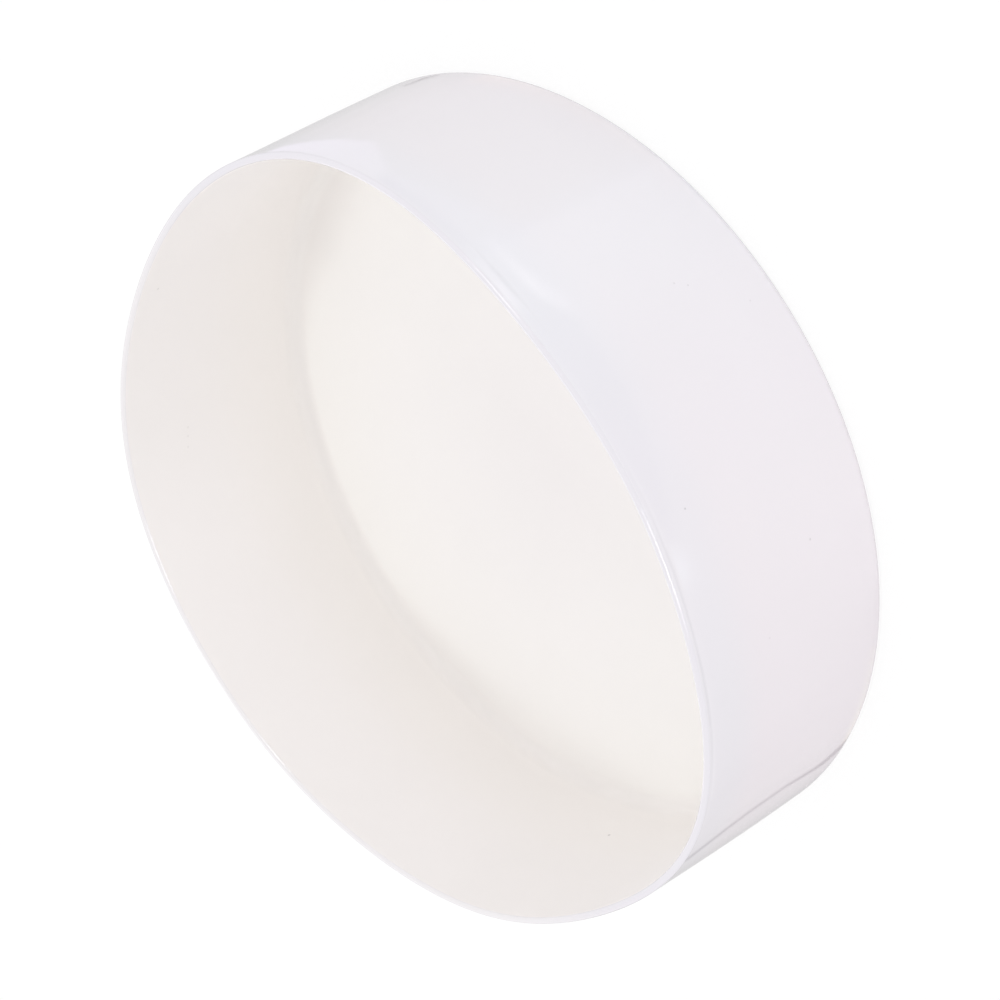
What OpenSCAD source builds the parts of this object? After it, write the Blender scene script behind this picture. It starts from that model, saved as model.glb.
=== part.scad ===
// Soft push-on end cap for a round pipe or duct, moulded in one piece.
// It is a shallow cup. The lower wall is round and grips the pipe, and the thin, free mouth has sagged out of round.
// Millimetres and degrees. The origin is the centre of the closed end's outer face, and +Z runs out of the mouth.

/* [Pipe seat] */
// Bore that stretches over the pipe, 2 mm under the 160 mm pipe that it grips
seat_d = 158; // [100:1:250]
// Height of the seat's upper end above the closed end's outer face
seat_top = 24; // [16:0.5:34]
// Inner rounding between the floor and the seat
floor_fillet = 3.2; // [1:0.1:5]
// Wall thickness round the seat
seat_wall = 3; // [2:0.1:4]

/* [Body] */
// Height from the closed end's outer face to the rim
body_h = 49.5; // [42:0.5:70]
// Thickness of the closed end
end_t = 2; // [1.5:0.1:4]
// Outer rounding between the closed end and the wall
corner_r = 1.5; // [0.6:0.1:1.9]

/* [Mouth] */
// Wall thickness at the rim
rim_t = 1.5; // [1.2:0.1:2.5]
// Rounding of the lip's two edges
lip_r = 0.6; // [0.2:0.05:0.6]
// How far the rim's mean radius is drawn in from the closed end's
draw_in = 1.4; // [0:0.1:2.5]
// Least room between the seat's radius and a sagging mouth
mouth_room = 0.1; // [0.06:0.01:0.5]
// How softly a sag levels off above the seat
sag_blend = 0.8; // [0.2:0.1:2]
// Height up to which the outside stays round
round_h = 4; // [3:0.5:12]

/* [Sag of the mouth] */
// Height of the oval wave
oval_amp = 0.3; // [0:0.05:2]
// Direction of the oval wave's crest
oval_dir = 6; // [0:1:180]
// Height of the three-cornered wave
three_amp = 1.9; // [0:0.05:3]
// Direction of the three-cornered wave's crest
three_dir = 88; // [0:1:120]
// Height of the four-cornered wave
four_amp = 1; // [0:0.05:2]
// Direction of the four-cornered wave's crest
four_dir = 52; // [0:1:90]
// Height of each of the finer waves, with five, six and seven crests
fine_amp = 0.25; // [0:0.05:0.5]
// Direction of the five-crested wave
five_dir = 59; // [0:1:72]
// Direction of the six-crested wave
six_dir = 31; // [0:1:60]
// Direction of the seven-crested wave
seven_dir = 6; // [0:1:51]

/* [Smoothness] */
// Points round each ring of the wavy wall
ring_points = 120; // [72:12:144]
// Levels up the wavy wall
wall_levels = 14; // [8:1:20]
// Steps round the closed end's corner
corner_steps = 4; // [3:1:6]
// Steps round the lip
lip_steps = 4; // [2:1:5]

/* [Hidden] */
seat_r = seat_d / 2;
body_r = seat_r + seat_wall;
// The wavy bore starts this much wider than the seat, and the seat's cutter runs this far up inside it
seat_step = 0.05;
seat_overrun = 4;
// How the waves grow up the outside, and up the inside above the seat
outer_growth = 2;
inner_growth = 1.4;
// The bore's cutter leaves the mouth by this much
mouth_overrun = 1;
least_rim_r = seat_r + mouth_room;

// Radial waves of the free mouth
function sag(a) =
    oval_amp * cos(2 * (a - oval_dir))
    + three_amp * cos(3 * (a - three_dir))
    + four_amp * cos(4 * (a - four_dir))
    + fine_amp * (cos(5 * (a - five_dir)) + cos(6 * (a - six_dir)) + cos(7 * (a - seven_dir)));

// A smooth larger-of: x where it is well above zero, and a little over zero below it
function levelled(x) = (x + sqrt(x * x + sag_blend * sag_blend)) / 2;

// The rim's inner and outer radius in direction a
function rim_inner(a) = least_rim_r + levelled(body_r - draw_in + sag(a) - rim_t - least_rim_r);
function rim_outer(a) = rim_inner(a) + rim_t;

// Outer radius of the wall at height z, and inner radius above the seat
function outer_r(a, z) =
    body_r + (rim_outer(a) - body_r) * pow(max(0, z - round_h) / (body_h - round_h), outer_growth);
function inner_r(a, z) =
    let (start = seat_r + seat_step)
    start + (rim_inner(a) - start) * pow(min(1, (z - seat_top) / (body_h - seat_top)), inner_growth);

function ring(radii, z) = [
    for (i = [0 : ring_points - 1])
        let (a = 360 * i / ring_points)
        [radii[i] * cos(a), radii[i] * sin(a), z]
];
function outer_ring(z, shift = 0, lift = 0) =
    ring([for (i = [0 : ring_points - 1]) outer_r(360 * i / ring_points, z) - shift], z + lift);
function inner_ring(z, shift = 0, lift = 0) =
    ring([for (i = [0 : ring_points - 1]) inner_r(360 * i / ring_points, z) + shift], z + lift);

// Height of level k of the wavy wall, from z0 up to where the lip starts to round
function level(k, z0) = z0 + (body_h - lip_r - z0) * k / wall_levels;
function corner_shift(k) = corner_r * (1 - sin(90 * k / corner_steps));
function corner_lift(k) = corner_r * (1 - cos(90 * k / corner_steps));
function lip_shift(k) = lip_r * (1 - cos(90 * k / lip_steps));
function lip_lift(k) = lip_r * sin(90 * k / lip_steps);

// A closed solid through stacked rings, from the lowest to the highest
module stack(rings) {
    points = [for (r = rings) each r];
    last = len(rings) - 1;
    polyhedron(points, concat(
        [[for (i = [0 : ring_points - 1]) i]],
        [
            for (k = [0 : last - 1], i = [0 : ring_points - 1])
                let (
                    j = (i + 1) % ring_points,
                    low = k * ring_points,
                    high = low + ring_points
                )
                each [[low + i, high + i, low + j], [low + j, high + i, high + j]]
        ],
        [[for (i = [ring_points - 1 : -1 : 0]) last * ring_points + i]]
    ));
}

// Outside of the cup: flat closed end, rounded corner, wall and the lip's outer edge
module outside() {
    stack(concat(
        [for (k = [0 : corner_steps - 1]) outer_ring(0, corner_shift(k), corner_lift(k))],
        [for (k = [0 : wall_levels]) outer_ring(level(k, corner_r))],
        [for (k = [1 : lip_steps]) outer_ring(body_h - lip_r, lip_shift(k), lip_lift(k))]
    ));
}

// The round bore that seats the pipe, with the floor and its fillet
module seat_bore() {
    rotate_extrude($fn = 180)
        union() {
            translate([0, end_t + floor_fillet])
                square([seat_r, seat_top + seat_overrun - end_t - floor_fillet]);
            translate([0, end_t]) square([seat_r - floor_fillet, floor_fillet]);
            intersection() {
                translate([seat_r - floor_fillet, end_t + floor_fillet]) circle(floor_fillet, $fn = 48);
                translate([0, end_t]) square([seat_r, floor_fillet]);
            }
        }
}

// The wavy bore above the seat. Its last stretch runs on through the rim's plane, so that no ring lies in that plane
module mouth_bore() {
    over_shift = 2 * lip_shift(lip_steps) - lip_shift(lip_steps - 1);
    over_lift = 2 * lip_lift(lip_steps) - lip_lift(lip_steps - 1);
    stack(concat(
        [for (k = [0 : wall_levels]) inner_ring(level(k, seat_top))],
        [for (k = [1 : lip_steps - 1]) inner_ring(body_h - lip_r, lip_shift(k), lip_lift(k))],
        [
            inner_ring(body_h - lip_r, over_shift, over_lift),
            inner_ring(body_h - lip_r, over_shift, over_lift + mouth_overrun)
        ]
    ));
}

module end_cap() {
    color("whitesmoke")
        difference() {
            outside();
            seat_bore();
            mouth_bore();
        }
}

end_cap();
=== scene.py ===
"""A soft, glossy white end cap for a round pipe, standing on its closed end, seen from the photograph's angle.

Directions are in degrees, counted from +X towards +Y, with the photograph's camera near -90. Sizes are in millimetres
unless a name or a comment says otherwise.
"""
import math

import bpy
import numpy as np
from mathutils import Matrix, Vector


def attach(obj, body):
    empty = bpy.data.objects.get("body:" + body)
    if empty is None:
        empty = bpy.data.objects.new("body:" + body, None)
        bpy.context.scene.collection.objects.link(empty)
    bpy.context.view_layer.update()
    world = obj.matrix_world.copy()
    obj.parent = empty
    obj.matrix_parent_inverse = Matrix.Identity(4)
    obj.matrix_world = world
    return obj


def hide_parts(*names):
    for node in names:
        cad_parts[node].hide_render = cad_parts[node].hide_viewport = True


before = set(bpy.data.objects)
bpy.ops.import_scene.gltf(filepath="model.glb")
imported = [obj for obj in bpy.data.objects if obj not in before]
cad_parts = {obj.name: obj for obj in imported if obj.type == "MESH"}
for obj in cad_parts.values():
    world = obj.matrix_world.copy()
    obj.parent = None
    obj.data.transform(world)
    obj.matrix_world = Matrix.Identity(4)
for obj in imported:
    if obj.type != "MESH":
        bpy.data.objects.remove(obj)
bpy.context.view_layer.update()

MM = 0.001

# The cap's sizes, as in the part's source. Only the lip is rounder here.
BODY_R = 82.0
BODY_H = 49.5
END_T = 2.0
CORNER_R = 1.5
SEAT_TOP = 24.0
SEAT_R = 79.0
FLOOR_FILLET = 3.2
RIM_T = 1.5
LIP_R = 0.72
DRAW_IN = 1.4
ROUND_H = 4.0
OUTER_GROWTH = 2
# How the wall thins from the seat's upper end to the rim
THINNING = 0.8
# Waves of the free mouth: crests, height and the direction of one crest
WAVES = ((2, 0.3, 6), (3, 1.9, 88), (4, 1.0, 52), (5, 0.25, 59), (6, 0.25, 31), (7, 0.25, 6))

# Faint creases under the lip: depth, half width, how much painted shade darkens them, and where they run.
# Each has a direction, a half length in degrees, a height and a share of the full depth.
CREASE_DEEP = 0.10
CREASE_WIDE = 0.35
CREASE_PAINTED_SHADE = 0.06
CREASES = ((-66, 5, 46.8, 0.6), (-109, 9, 48.1, 1), (-126, 11, 48.1, 1))
# Height above which the wall's rings lie closer, for the creases
CREASE_Z = 45.8

# Sides of the skin, kept on the mesh for the material
SKIN_OUT, SKIN_LIP, SKIN_IN = 0.0, 0.5, 1.0
# The lip's colour ends this far up its inner rounding, in radians
LIP_END = 0.3

# Colours in linear light
OUTSIDE = (0.887, 0.846, 0.881)
# Painted light: the outside is warmer on its left side
OUTSIDE_LEFT = (0.896, 0.844, 0.882)
# Painted reflection tint: bluer near the rim
NEAR_RIM = (0.872, 0.844, 0.885)
# The lip's colours carry painted shade, deeper on the near side
LIP = (0.860, 0.834, 0.850)
LIP_NEAR = (0.815, 0.792, 0.840)
# The inner wall's colours carry painted light: brighter and warmer at the foot, and brighter on the far side
INSIDE_FOOT = (0.9220, 0.8935, 0.8735)
INSIDE_RIM = (0.9135, 0.8880, 0.8795)
INSIDE_FAR = (0.9330, 0.9070, 0.9010)
# The floor's colours carry painted light, brighter and a little warmer towards its edge
FLOOR_MIDDLE = (0.902, 0.873, 0.873)
FLOOR_EDGE = (0.992, 0.978, 0.954)

# Outside. The left colour is painted light, warmer on the left side; it comes in over the first two directions and
# goes out over the last two.
LEFT_IN = (-100, -130)
LEFT_OUT = (-180, -165)
# Heights between which the colour near the rim, a bluer painted reflection tint, comes in
RIM_BLEND = (32, 44)
# Painted reflection tint: how red, green and blue change round the outside, by direction, in place of coloured
# reflections
PAINTED_REFLECTION_TINT = (
    (-180, (0.0, 0.0, 0.0)), (-160, (0.006, -0.002, 0.0)), (-143, (-0.005, -0.005, -0.004)),
    (-130, (-0.008, -0.003, -0.004)), (-107, (0.0, 0.001, 0.002)), (-95, (-0.004, 0.0, 0.005)),
    (-84, (-0.011, 0.001, 0.004)), (-70, (-0.020, 0.003, 0.006)), (-62, (-0.022, 0.0, 0.003)),
    (-58, (-0.018, 0.0, -0.004)), (-45, (-0.015, -0.002, -0.006)), (-36, (-0.012, -0.001, -0.004)),
    (-24, (-0.004, -0.002, -0.003)), (0, (0.0, 0.0, 0.0)),
)
# Painted shade: a slightly darker strip on the left, standing in for a dimmer reflection there. How much, its
# direction and half width, and the heights over which it comes in
STRIP_PAINTED_SHADE = 0.018
STRIP_AT = (-129, 13)
STRIP_HEIGHTS = (5, 40)

# Lip: sines of the direction between which the near colour, with deeper painted shade, turns into the far one
LIP_BLEND = (-0.3, 0.5)

# Inner wall, painted light: heights between which the foot's brighter colour fades, and where the far side's brighter
# colour shows (its middle, and the cosines of the angle from it between which it comes in)
FOOT_BLEND = (8, 38)
FAR_AT = 103
FAR_BLEND = (0.6, 0.9)
# Painted shade low down on the back wall: how much, its direction and half width, and up to what height
FAR_PAINTED_SHADE = 0.017
FAR_PAINTED_SHADE_AT = (66, 28)
FAR_PAINTED_SHADE_TOP = 20

# Floor: radius at which its painted light at the edge is full, and how slowly that comes in
FLOOR_EDGE_R = 75
FLOOR_POWER = 1.4
# The floor's painted light grows inwards from its edge. A share of that comes in one narrow step, and the rest over a
# wider one.
# Distances are outwards from the flat floor's edge, and the tables go by direction.
EDGE_STEP = (2.3, -1.3)
EDGE_START = 1.3
EDGE_SHARE = (
    (-180, 0.3), (0, 0.2), (15, 0.0), (28, 0.0), (36, 0.2), (45, 0.5), (55, 0.9), (90, 0.95), (98, 0.45),
    (106, 0.25), (116, 0.25), (125, 0.40), (146, 0.45), (155, 0.6), (165, 0.9), (175, 0.6), (180, 0.3),
)
EDGE_WIDTH = (
    (-180, 10), (-60, 8), (5, 11), (15, 14), (28, 14), (36, 10), (50, 4), (88, 3), (96, 7),
    (106, 11), (125, 16), (145, 15), (156, 9), (168, 7), (180, 10),
)
# Painted shade: how much darker the rounding at the floor's edge is, by direction, and the heights over the floor
# between which that comes in, from the wall down
EDGE_PAINTED_SHADE = (
    (-180, 0.035), (5, 0.03), (15, 0.042), (25, 0.055), (36, 0.046), (46, 0.052), (56, 0.044),
    (66, 0.050), (76, 0.046), (86, 0.056), (96, 0.048), (106, 0.050), (115, 0.062), (125, 0.046),
    (135, 0.036), (145, 0.040), (155, 0.028), (165, 0.0), (172, 0.01), (180, 0.035),
)
EDGE_PAINTED_SHADE_HEIGHTS = (3.9, 0.7)

# Specks of dirt: direction, radius and height, size and how much they darken
SPECKS = (
    (-103.0, 79.8, 41.3, 0.27, 0.24), (-77.7, 81.5, 19.4, 0.28, 0.12), (-78.8, 81.7, 17.2, 0.25, 0.14),
    (-115.0, 81.8, 17.1, 0.30, 0.18), (-146.9, 81.0, 37.3, 0.35, 0.12), (-124.4, 81.6, 31.1, 0.25, 0.12),
    (-84.4, 81.9, 7.6, 0.25, 0.12), (24.4, 77.5, 43.6, 0.35, 0.20), (156.5, 78.9, 15.3, 0.40, 0.30),
    (55.1, 79.5, 33.6, 0.35, 0.08), (56.5, 79.5, 34.0, 0.35, 0.08), (58.2, 79.6, 34.5, 0.35, 0.08),
)
# Share of a speck's size that is fully dark
SPECK_CORE = 0.4

# Skin: roughness outside and inside, and a faint cloudiness
ROUGHNESS = (0.07, 0.62)
# Between which sides of the skin the roughness changes
ROUGH_BLEND = (0.35, 0.9)
CLOUD_SCALE = 28.0
CLOUD_DETAIL = 2.0
CLOUD_RANGE = (0.3, 0.7)
CLOUD_SHADES = (0.993, 1.007)

# Mesh density
RING_POINTS = 480
WALL_RINGS = 40
CREASE_RINGS = 28
LIP_RINGS = 10
CORNER_RINGS = 6
FILLET_RINGS = 8
DISC_RINGS = 4
FLOOR_RINGS = 26
# The floor's rings lie closer at its edge
FLOOR_CROWDING = 1.8

# Room: the world's light, and the floor's own light for mirrored rays
WORLD_LIGHT = 1.04
FLOOR_SHINE = 0.70
FLOOR_HALF_M = 6.0
FLOOR_COLOUR = (0.95, 0.95, 0.95, 1)
# The floor shows the camera its own white at this strength and share, and the cap's shadow with the rest
FLOOR_WHITE = 1.02
FLOOR_WHITE_SHARE = 0.85
# The floor and the mirrored sheet lie this far under the cap
FLOOR_DROP = 0.1
SHINE_DROP = 0.05

# What the glossy outer wall mirrors. Directions and heights say where it shows on the wall.
# Brightness near the mouth and near the foot, then soft-edged patches on top: change, softness, corners.
SHINE_HIGH = (
    (-158, 0.62), (-150, 0.56), (-143, 0.42), (-130, 0.38), (-122, 0.38), (-107, 0.38), (-86, 0.4),
    (-73, 0.85), (-62.2, 1.0), (-61.2, 0.64), (-46, 0.54), (-31, 0.66), (0, 0.67),
)
SHINE_LOW = (
    (-150, 0.6), (-130, 0.5), (-108, 1.0), (-88, 1.0), (-73, 1.05), (-62.2, 1.0),
    (-61.2, 0.68), (-50, 0.6), (-31, 0.7), (0, 0.67),
)
# Heights between which the low brightness turns into the high one
SHINE_BLEND = (5, 40)
SHINE_PATCHES = (
    ("wedge", (0.25, 0.22, 0.32), 0.25, (
        (-43.0, 44.8), (-35.6, 37.8), (-29, 40.9), (-23.5, 45.2), (-20, 60), (-43, 60),
    )),
    ("band edge", (0.14, 0.14, 0.22), 0.5, ((-62, 30), (-60, 36), (-52, 41.5), (-43, 45.2), (-43, 60), (-62, 60))),
    ("left line", (-0.5, -0.5, -0.5), 0.4, (
        (-155.5, 60), (-155.7, 31), (-156.4, 19), (-158.0, 9.4), (-158.2, 6), (-157, 1),
        (-154.0, 1), (-156.4, 6), (-156.8, 9.4), (-155.4, 19), (-154.7, 31), (-154.5, 60),
    )),
    ("right line", (-0.45, -0.45, -0.45), 0.4, (
        (-21.5, 2.6), (-19.6, 4.2), (-18.4, 7.6), (-17.4, 7.6), (-18.4, 3.2), (-21.5, 1.6),
    )),
    ("dark rim", (-0.35, -0.35, -0.28), 0.9, (
        (-106, 60), (-106, 45.8), (-98, 43), (-88, 40.8), (-80, 40), (-75.5, 40.6),
        (-72.5, 42.6), (-69, 44.6), (-66, 45.4), (-73, 48.5), (-78, 60),
    )),
    ("rim shade", (-0.4, -0.4, -0.3), 1.0, ((-59, 60), (-59, 46.4), (-52, 46.2), (-44, 46.6), (-44, 60))),
    ("rim light", (0.6, 0.5, 0.55), 1.2, ((-72, 60), (-70, 47.4), (-66, 46.8), (-62, 47.4), (-61, 60))),
    ("streak", (0.66, 0.56, 0.60), 1.0, (
        (-60, 43.9), (-64, 44.1), (-67.9, 44.0), (-70.7, 43.2), (-73, 41.4), (-74.3, 39.8),
        (-72.6, 39.3), (-70.8, 39.8), (-69.5, 40.4), (-67.5, 41.3), (-65.7, 42.0), (-60, 42.2),
    )),
    ("foot", (0.3, 0.3, 0.3), 3.0, ((-126, 3.5), (-126, -5), (-70, -5), (-70, 3.5))),
    ("right foot", (0.25, 0.12, 0.05), 3.5, ((-66, 4.5), (-66, -5), (-30, -5), (-30, 4.5))),
    ("left foot", (0.3, 0.3, 0.1), 2.0, ((-155, 2.5), (-155, -5), (-137, -5), (-137, 2.5))),
)
# Round soft spots: change, direction, height, half width in degrees and half height
SHINE_SPOTS = (
    ("near spot", (0.80, 0.78, 0.74), -67.6, 42.9, 3.0, 1.0),
    ("rim spot", (1.8, 1.5, 1.7), -67.5, 48.2, 2.4, 0.8),
    ("low spot", (1.0, 1.2, 1.3), -109.5, 47.0, 2.6, 2.2),
)
# The part of the wall that the sheet serves, and the sheet's mesh density
SHINE_DIRECTIONS = (-168, -8)
SHINE_HEIGHTS = (1.0, 48.8)
SHINE_COLUMNS = 401
SHINE_ROWS = 97
# Small step for the wall's slope, in radians and in millimetres
SLOPE_STEP = 0.001

# Panels, 1 m away, that the lip mirrors: direction and elevation, width and height in degrees, brightness
GLEAMS = (
    ("right gleam", -54, 33, 12, 30, 7.0),
    ("left gleam", -122, 36, 24, 26, 9.0),
    ("back gleam", 90.4, 12, 4, 24, 2.5),
    ("high gleam", 73, 59, 4, 20, 3.0),
)
GLEAM_STEPS = 6

# Camera: metres, degrees and, for the lens and sensor, millimetres. Its azimuth is 0 on -Y and 90 on +X.
AIM = Vector((-0.0008, -0.00264, 0.02107))
DISTANCE = 0.63137
AZIMUTH = 0.29
ELEVATION = 35.54
ROLL = 120.16
LENS = 115.2
SENSOR = 36.0


def smooth(t):
    """0 below 0 and 1 above 1, with a smooth rise between."""
    t = np.clip(t, 0, 1)
    return t * t * (3 - 2 * t)


def ramp(x, start, end):
    """0 at start and 1 at end, with a smooth rise between."""
    return smooth((x - start) / (end - start))


def bump(x, middle, half_width):
    """1 in the middle, falling off smoothly on both sides."""
    return np.exp(-((x - middle) / half_width) ** 2)


def table(pairs, x):
    """Value at x of a table of (place, value)."""
    return np.interp(x, *zip(*pairs))


def blend(a, b, t):
    """Colour a where t is 0 and b where it is 1."""
    return np.asarray(a) + (np.asarray(b) - np.asarray(a)) * np.asarray(t)[..., None]


def degrees_of(angle):
    """Angles in radians as directions from -180 to 180 degrees."""
    return np.degrees(np.angle(np.exp(1j * angle)))


def sag(angle):
    """Radial wave of the mouth."""
    return sum(high * np.cos(crests * (angle - math.radians(crest))) for crests, high, crest in WAVES)


def outer_radius(angle, z):
    """Outside radius of the wall at height z."""
    growth = (np.maximum(0.0, z - ROUND_H) / (BODY_H - ROUND_H)) ** OUTER_GROWTH
    return BODY_R + (sag(angle) - DRAW_IN) * growth


def wall_thickness(z):
    """The wall thins from the seat up to the rim."""
    t = min(1.0, max(0.0, (z - SEAT_TOP) / (BODY_H - SEAT_TOP)))
    seat_wall = BODY_R - SEAT_R
    return seat_wall + (RIM_T - seat_wall) * t ** THINNING


def inner_radius(angle, z):
    """Inside radius of the wall at height z."""
    return outer_radius(angle, z) - wall_thickness(z)


def crease(angle, z):
    """How deep the creases are, as a share of the full depth."""
    degrees = degrees_of(angle)
    reach = sum(share * bump(degrees, at, wide) * bump(z, height, CREASE_WIDE) for at, wide, height, share in CREASES)
    return np.minimum(1, reach)


def quarter(count):
    """Angles up to a right angle, in equal steps, without the first."""
    return [math.pi / 2 * (k + 1) / count for k in range(count)]


def section_rings(angle):
    """Rings from the middle of the closed end's outer face, up the outside, over the lip and down to the floor.

    Each ring is (radii, height, side of the skin)."""
    rings = []
    foot_r = BODY_R - CORNER_R
    for k in range(1, DISC_RINGS + 1):
        rings.append((np.full_like(angle, foot_r * k / DISC_RINGS), 0.0, SKIN_OUT))
    for a in quarter(CORNER_RINGS):
        radii = np.full_like(angle, foot_r + CORNER_R * math.sin(a))
        rings.append((radii, CORNER_R * (1 - math.cos(a)), SKIN_OUT))
    for k in range(1, WALL_RINGS + 1):
        z = CORNER_R + (CREASE_Z - CORNER_R) * k / WALL_RINGS
        rings.append((outer_radius(angle, z), z, SKIN_OUT))
    lip_z = BODY_H - LIP_R
    for k in range(1, CREASE_RINGS + 1):
        z = CREASE_Z + (lip_z - CREASE_Z) * k / CREASE_RINGS
        rings.append((outer_radius(angle, z) - CREASE_DEEP * crease(angle, z), z, SKIN_OUT))
    top_r = outer_radius(angle, BODY_H)
    for a in quarter(LIP_RINGS):
        z = lip_z + LIP_R * math.sin(a)
        rings.append((top_r - LIP_R * (1 - math.cos(a)) - CREASE_DEEP * crease(angle, z), z, SKIN_LIP))
    rim_r = top_r - RIM_T
    for a in reversed([0.0] + quarter(LIP_RINGS)[:-1]):
        side = SKIN_LIP if a > LIP_END else SKIN_IN
        rings.append((rim_r + LIP_R * (1 - math.cos(a)), lip_z + LIP_R * math.sin(a), side))
    foot_z = END_T + FLOOR_FILLET
    for k in range(1, WALL_RINGS + 1):
        z = lip_z + (foot_z - lip_z) * k / WALL_RINGS
        rings.append((inner_radius(angle, z), z, SKIN_IN))
    wall_r = inner_radius(angle, foot_z)
    for a in quarter(FILLET_RINGS):
        rings.append((wall_r - FLOOR_FILLET * (1 - math.cos(a)), foot_z - FLOOR_FILLET * math.sin(a), SKIN_IN))
    floor_r = wall_r - FLOOR_FILLET
    for k in range(1, FLOOR_RINGS):
        rings.append((floor_r * (1 - (k / FLOOR_RINGS) ** FLOOR_CROWDING), END_T, SKIN_IN))
    return rings


def outside_colours_and_painted_light(angle, z):
    """Base colours round one ring of the outside, with painted light, shade and reflection tints in them."""
    degrees = degrees_of(angle)
    # Painted light: warmer on the left side
    side = blend(OUTSIDE, OUTSIDE_LEFT, ramp(degrees, *LEFT_IN) * ramp(degrees, *LEFT_OUT))
    # Painted reflection tint near the rim
    side += (NEAR_RIM - side) * ramp(z, *RIM_BLEND)
    # Painted reflection tint, by direction
    side += np.stack([table([(at, change[k]) for at, change in PAINTED_REFLECTION_TINT], degrees) for k in range(3)], -1)
    # Painted shade: a darker strip on the left
    low, high = STRIP_HEIGHTS
    side -= bump(degrees, *STRIP_AT)[:, None] * STRIP_PAINTED_SHADE * np.clip((z - low) / (high - low), 0, 1)
    # Painted shade along the creases
    return side * (1 - CREASE_PAINTED_SHADE * crease(angle, z))[:, None]


def inside_colours_and_painted_light(angle, radii, z):
    """Base colours round one ring of the inner wall, the rounding or the floor, with painted light and shade in them.
    """
    degrees = degrees_of(angle)
    # Painted light on the inner wall, at the foot and on the far side
    far = ramp(np.cos(angle - math.radians(FAR_AT)), *FAR_BLEND)
    wall = blend(INSIDE_FOOT, blend(INSIDE_RIM, INSIDE_FAR, far), ramp(z, *FOOT_BLEND))
    # Painted light: the floor brighter towards its edge
    floor = blend(FLOOR_MIDDLE, FLOOR_EDGE, np.minimum(1, radii / FLOOR_EDGE_R) ** FLOOR_POWER)
    # Where the floor's painted light takes over from the rounding's painted shade
    past_edge = radii - (SEAT_R - FLOOR_FILLET)
    share = table(EDGE_SHARE, degrees)
    rest = ramp(past_edge, EDGE_START, EDGE_START - table(EDGE_WIDTH, degrees))
    on_floor = (share * ramp(past_edge, *EDGE_STEP) + (1 - share) * rest) * (z < END_T + 1)
    # Painted shade in the rounding at the floor's edge
    dark = table(EDGE_PAINTED_SHADE, degrees) * ramp(z - END_T, *EDGE_PAINTED_SHADE_HEIGHTS)
    # Painted shade low on the back wall
    dark += FAR_PAINTED_SHADE * bump(degrees, *FAR_PAINTED_SHADE_AT) * ramp(z - END_T, FAR_PAINTED_SHADE_TOP, 0)
    return blend(wall, floor, on_floor) * (1 - dark * (1 - on_floor))[:, None]


def colours_and_painted_light(angle, radii, z, side):
    """Base colours round one ring, with painted light, shade and reflection tints in them."""
    if side == SKIN_LIP:
        # Painted shade on the lip, deeper on the near side
        return blend(LIP_NEAR, LIP, ramp(np.sin(angle), *LIP_BLEND))
    if side == SKIN_OUT:
        return outside_colours_and_painted_light(angle, z)
    return inside_colours_and_painted_light(angle, radii, z)


def new_mesh_object(name, verts, faces):
    """A mesh, and an object that shows it."""
    mesh = bpy.data.meshes.new(name)
    mesh.from_pydata(verts, [], faces)
    obj = bpy.data.objects.new(name, mesh)
    bpy.context.collection.objects.link(obj)
    return obj, mesh


def colour_points(mesh, name, colours):
    """Keep one colour for each point of a mesh."""
    layer = mesh.attributes.new(name, "FLOAT_COLOR", "POINT")
    layer.data.foreach_set("color", np.hstack([colours, np.ones((len(colours), 1))]).ravel())


def build_shell():
    """The whole cap as one closed, smooth mesh."""
    angle = np.arange(RING_POINTS) * 2 * math.pi / RING_POINTS
    rings = section_rings(angle)
    verts = [(0.0, 0.0, 0.0)]
    sides = [SKIN_OUT]
    colours = [np.array([OUTSIDE])]
    for radii, z, side in rings:
        colours.append(colours_and_painted_light(angle, radii, z, side))
        for a, r in zip(angle, radii):
            verts.append((r * math.cos(a) * MM, r * math.sin(a) * MM, z * MM))
            sides.append(side)
    verts.append((0.0, 0.0, END_T * MM))
    sides.append(SKIN_IN)
    colours.append(np.array([FLOOR_MIDDLE]))
    n = RING_POINTS
    faces = []
    for i in range(n):
        j = (i + 1) % n
        faces.append((0, 1 + j, 1 + i))
        for k in range(len(rings) - 1):
            low = 1 + k * n
            faces.append((low + i, low + j, low + n + j, low + n + i))
        last = 1 + (len(rings) - 1) * n
        faces.append((last + i, last + j, len(verts) - 1))
    shell, mesh = new_mesh_object("cap_shell", verts, faces)
    mesh.polygons.foreach_set("use_smooth", [True] * len(mesh.polygons))
    mark = mesh.attributes.new("inside", "FLOAT", "POINT")
    mark.data.foreach_set("value", sides)
    # Base colours kept on the mesh, with painted light, shade and reflection tints in them
    colour_points(mesh, "colour_and_painted_light", np.concatenate(colours))
    mesh.update()
    return shell


def new_material(name):
    """An empty node material."""
    material = bpy.data.materials.new(name)
    material.use_nodes = True
    material.node_tree.nodes.clear()
    return material, material.node_tree.nodes, material.node_tree.links


def new_node(nodes, kind, inputs=(), **settings):
    """A node with its settings and plain input values."""
    node = nodes.new("ShaderNode" + kind)
    for key, value in settings.items():
        setattr(node, key, value)
    for key, value in dict(inputs).items():
        node.inputs[key].default_value = value
    return node


def range_inputs(low, high, to_low=0.0, to_high=1.0):
    """Input values of a Map Range node."""
    return {"From Min": low, "From Max": high, "To Min": to_low, "To Max": to_high}


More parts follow.
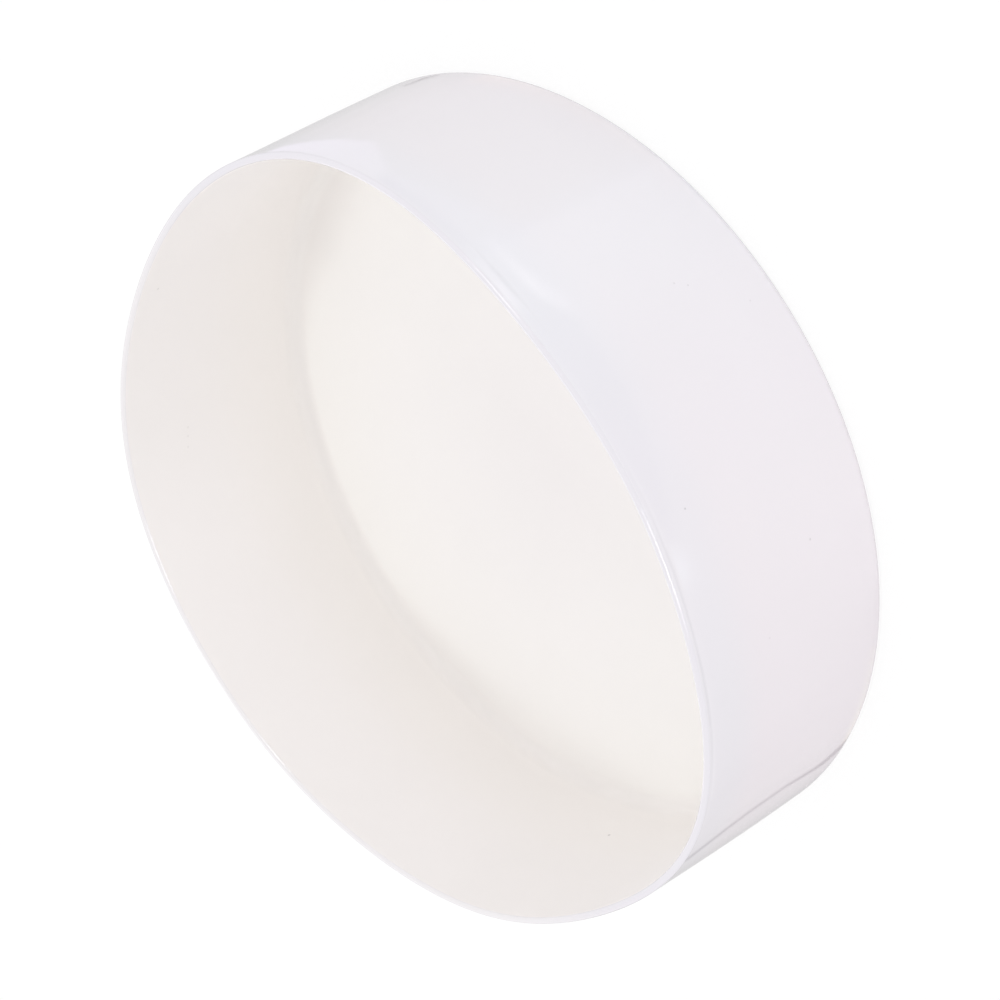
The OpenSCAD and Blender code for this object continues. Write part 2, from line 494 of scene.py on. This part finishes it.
def vinyl():
    """Soft white vinyl: glossy and cool outside, matte and warm inside. Its base colour comes from the mesh, with
    painted light and shade in it.
    """
    material, nodes, links = new_material("soft_vinyl")
    out = new_node(nodes, "OutputMaterial")
    skin = new_node(nodes, "BsdfPrincipled")
    links.new(skin.outputs[0], out.inputs["Surface"])
    mark = new_node(nodes, "Attribute", attribute_name="inside")
    side = new_node(nodes, "MapRange", range_inputs(*ROUGH_BLEND), interpolation_type="SMOOTHSTEP")
    links.new(mark.outputs["Fac"], side.inputs["Value"])
    # The mesh's base colours, with painted light and shade in them
    colour_and_painted_light = new_node(nodes, "Attribute", attribute_name="colour_and_painted_light")
    place = new_node(nodes, "TexCoord")
    cloud = new_node(nodes, "TexNoise", {"Scale": CLOUD_SCALE, "Detail": CLOUD_DETAIL})
    links.new(place.outputs["Object"], cloud.inputs["Vector"])
    drift = new_node(nodes, "MapRange", range_inputs(*CLOUD_RANGE, *CLOUD_SHADES))
    links.new(cloud.outputs["Fac"], drift.inputs["Value"])
    shade = drift.outputs[0]
    for direction_deg, radius, z, size, dark in SPECKS:
        a = math.radians(direction_deg)
        spot = (radius * math.cos(a) * MM, radius * math.sin(a) * MM, z * MM)
        away = new_node(nodes, "VectorMath", {1: spot}, operation="DISTANCE")
        links.new(place.outputs["Object"], away.inputs[0])
        dot = new_node(nodes, "MapRange", range_inputs(size * SPECK_CORE * MM, size * MM, 1 - dark, 1.0))
        links.new(away.outputs["Value"], dot.inputs["Value"])
        both = new_node(nodes, "Math", operation="MULTIPLY")
        links.new(shade, both.inputs[0])
        links.new(dot.outputs[0], both.inputs[1])
        shade = both.outputs[0]
    colour = new_node(nodes, "VectorMath", operation="SCALE")
    links.new(colour_and_painted_light.outputs["Color"], colour.inputs[0])
    links.new(shade, colour.inputs["Scale"])
    links.new(colour.outputs[0], skin.inputs["Base Color"])
    rough = new_node(nodes, "MapRange", range_inputs(0.0, 1.0, *ROUGHNESS))
    links.new(side.outputs[0], rough.inputs["Value"])
    links.new(rough.outputs[0], skin.inputs["Roughness"])
    return material


def floor_material():
    """Pale floor: white to the camera but for the cap's shadow, and with light of its own for mirrored rays."""
    material, nodes, links = new_material("floor_white")
    out = new_node(nodes, "OutputMaterial")
    path = new_node(nodes, "LightPath")
    plain = new_node(nodes, "BsdfDiffuse", {"Color": FLOOR_COLOUR})
    white = new_node(nodes, "Emission", {"Strength": FLOOR_WHITE})
    straight = new_node(nodes, "Math", operation="MAXIMUM")
    links.new(path.outputs["Is Camera Ray"], straight.inputs[0])
    links.new(path.outputs["Is Transmission Ray"], straight.inputs[1])
    share = new_node(nodes, "Math", {1: FLOOR_WHITE_SHARE}, operation="MULTIPLY")
    links.new(straight.outputs[0], share.inputs[0])
    seen = new_node(nodes, "MixShader")
    links.new(share.outputs[0], seen.inputs[0])
    links.new(plain.outputs[0], seen.inputs[1])
    links.new(white.outputs[0], seen.inputs[2])
    shine = new_node(nodes, "Emission", {"Strength": FLOOR_SHINE})
    whole = new_node(nodes, "MixShader")
    links.new(path.outputs["Is Glossy Ray"], whole.inputs[0])
    links.new(seen.outputs[0], whole.inputs[1])
    links.new(shine.outputs[0], whole.inputs[2])
    links.new(whole.outputs[0], out.inputs["Surface"])
    return material


def add_floor():
    """A wide, plain floor under the cap."""
    h = FLOOR_HALF_M
    floor, mesh = new_mesh_object("floor", [(-h, -h, 0), (h, -h, 0), (h, h, 0), (-h, h, 0)], [(0, 1, 2, 3)])
    floor.location.z = -FLOOR_DROP * MM
    mesh.materials.append(floor_material())


def glow_material(name, strength):
    """White light of its own, without being sampled as a lamp."""
    material, nodes, links = new_material(name)
    out = new_node(nodes, "OutputMaterial")
    glow = new_node(nodes, "Emission", {"Color": (1, 1, 1, 1), "Strength": strength})
    links.new(glow.outputs[0], out.inputs["Surface"])
    material.cycles.emission_sampling = "NONE"
    return material


def only_mirrored(obj):
    """Hide an object from all but mirrored rays."""
    obj.visible_camera = obj.visible_diffuse = obj.visible_transmission = obj.visible_shadow = False


def add_gleams():
    """Bright panels round the cap that only mirrored rays see."""
    for name, azimuth, elevation, wide, high, strength in GLEAMS:
        verts = []
        for k in range(GLEAM_STEPS + 1):
            a = math.radians(azimuth + wide * (k / GLEAM_STEPS - 0.5))
            for e in (elevation - high / 2, elevation + high / 2):
                e = math.radians(e)
                verts.append((math.cos(a) * math.cos(e), math.sin(a) * math.cos(e), math.sin(e)))
        faces = [(2 * k, 2 * k + 2, 2 * k + 3, 2 * k + 1) for k in range(GLEAM_STEPS)]
        panel, mesh = new_mesh_object(name, verts, faces)
        mesh.materials.append(glow_material(name, strength))
        only_mirrored(panel)


def direction(azimuth, elevation):
    """Unit vector towards a place round the cap, by the camera's azimuth and elevation."""
    a, e = math.radians(azimuth), math.radians(elevation)
    return Vector((math.sin(a) * math.cos(e), -math.cos(a) * math.cos(e), math.sin(e)))


def on_wall(angle, z):
    """Points of the outer wall."""
    r = outer_radius(angle, z)
    return np.stack([r * np.cos(angle), r * np.sin(angle), z], -1)


def unit(vectors):
    """Vectors at length 1."""
    return vectors / np.linalg.norm(vectors, axis=-1, keepdims=True)


def mirrored_spot(angle, z):
    """Where the outer wall shows the floor from the photograph's angle."""
    spot = on_wall(angle, z)
    along = on_wall(angle + SLOPE_STEP, z) - on_wall(angle - SLOPE_STEP, z)
    up = on_wall(angle, z + SLOPE_STEP) - on_wall(angle, z - SLOPE_STEP)
    normal = unit(np.cross(along, up))
    eye = np.array((AIM + direction(AZIMUTH, ELEVATION) * DISTANCE) / MM)
    view = unit(eye - spot)
    ray = 2 * (normal * view).sum(-1, keepdims=True) * normal - view
    return (spot - spot[..., 2:] / ray[..., 2:] * ray)[..., :2]


def soft_patch(x, y, corners, softness):
    """1 inside a patch and 0 outside it, with a soft edge."""
    inside = np.zeros(x.shape, bool)
    nearest = np.full(x.shape, np.inf)
    for (x0, y0), (x1, y1) in zip(corners, corners[1:] + corners[:1]):
        # A level edge is never crossed, and its divisor only has to be other than 0
        crossing = (y0 > y) != (y1 > y)
        inside ^= crossing & (x < x0 + (y - y0) * (x1 - x0) / ((y1 - y0) or 1))
        t = np.clip(((x - x0) * (x1 - x0) + (y - y0) * (y1 - y0)) / ((x1 - x0) ** 2 + (y1 - y0) ** 2), 0, 1)
        nearest = np.minimum(nearest, np.hypot(x - x0 - t * (x1 - x0), y - y0 - t * (y1 - y0)))
    return smooth(0.5 + np.where(inside, nearest, -nearest) / (2 * softness))


def shine_at(degrees, z):
    """Brightness that the outer wall mirrors at a direction and height."""
    low, high = table(SHINE_LOW, degrees), table(SHINE_HIGH, degrees)
    start, end = SHINE_BLEND
    level = low + (high - low) * np.clip((z - start) / (end - start), 0, 1)
    light = np.repeat(level[..., None], 3, -1)
    mm_per_degree = math.radians(1) * BODY_R
    for name, change, softness, corners in SHINE_PATCHES:
        flat = tuple((at * mm_per_degree, height) for at, height in corners)
        light += soft_patch(degrees * mm_per_degree, z, flat, softness)[..., None] * change
    for name, change, at, height, wide, tall in SHINE_SPOTS:
        light += (bump(degrees, at, wide) * bump(z, height, tall))[..., None] * change
    return np.maximum(light, 0)


def add_shine():
    """A sheet on the floor that only mirrored rays see, brighter and darker in places."""
    degrees = np.linspace(*SHINE_DIRECTIONS, SHINE_COLUMNS)
    heights = np.linspace(*SHINE_HEIGHTS, SHINE_ROWS)
    at, z = np.meshgrid(degrees, heights, indexing="ij")
    spots = mirrored_spot(np.radians(at), z)
    verts = [(x * MM, y * MM, -SHINE_DROP * MM) for x, y in spots.reshape(-1, 2)]
    faces = []
    for i in range(SHINE_COLUMNS - 1):
        for k in range(SHINE_ROWS - 1):
            a = i * SHINE_ROWS + k
            faces.append((a, a + 1, a + SHINE_ROWS + 1, a + SHINE_ROWS))
    sheet, mesh = new_mesh_object("shine_sheet", verts, faces)
    colour_points(mesh, "level", shine_at(at, z).reshape(-1, 3))
    material = glow_material("shine", 1.0)
    nodes, links = material.node_tree.nodes, material.node_tree.links
    level = new_node(nodes, "Attribute", attribute_name="level")
    links.new(level.outputs["Color"], nodes["Emission"].inputs["Color"])
    mesh.materials.append(material)
    only_mirrored(sheet)


def add_world():
    """Plain white light from all round."""
    world = bpy.data.worlds.new("studio")
    world.use_nodes = True
    world.node_tree.nodes["Background"].inputs["Color"].default_value = (1, 1, 1, 1)
    world.node_tree.nodes["Background"].inputs["Strength"].default_value = WORLD_LIGHT
    bpy.context.scene.world = world


def add_camera():
    """The photograph's view."""
    back = direction(AZIMUTH, ELEVATION)
    data = bpy.data.cameras.new("photo_view")
    data.sensor_width = SENSOR
    data.lens = LENS
    camera = bpy.data.objects.new("photo_view", data)
    upright = (-back).to_track_quat("-Z", "Y").to_matrix().to_4x4()
    turn = Matrix.Rotation(-math.radians(ROLL), 4, "Z")
    camera.matrix_world = Matrix.Translation(AIM + back * DISTANCE) @ upright @ turn
    bpy.context.collection.objects.link(camera)
    bpy.context.scene.camera = camera


add_camera()
shell = build_shell()
shell.data.materials.append(vinyl())
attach(shell, "root")
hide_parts("end_cap")
add_floor()
add_shine()
add_gleams()
add_world()
bpy.context.scene.view_settings.view_transform = "Standard"
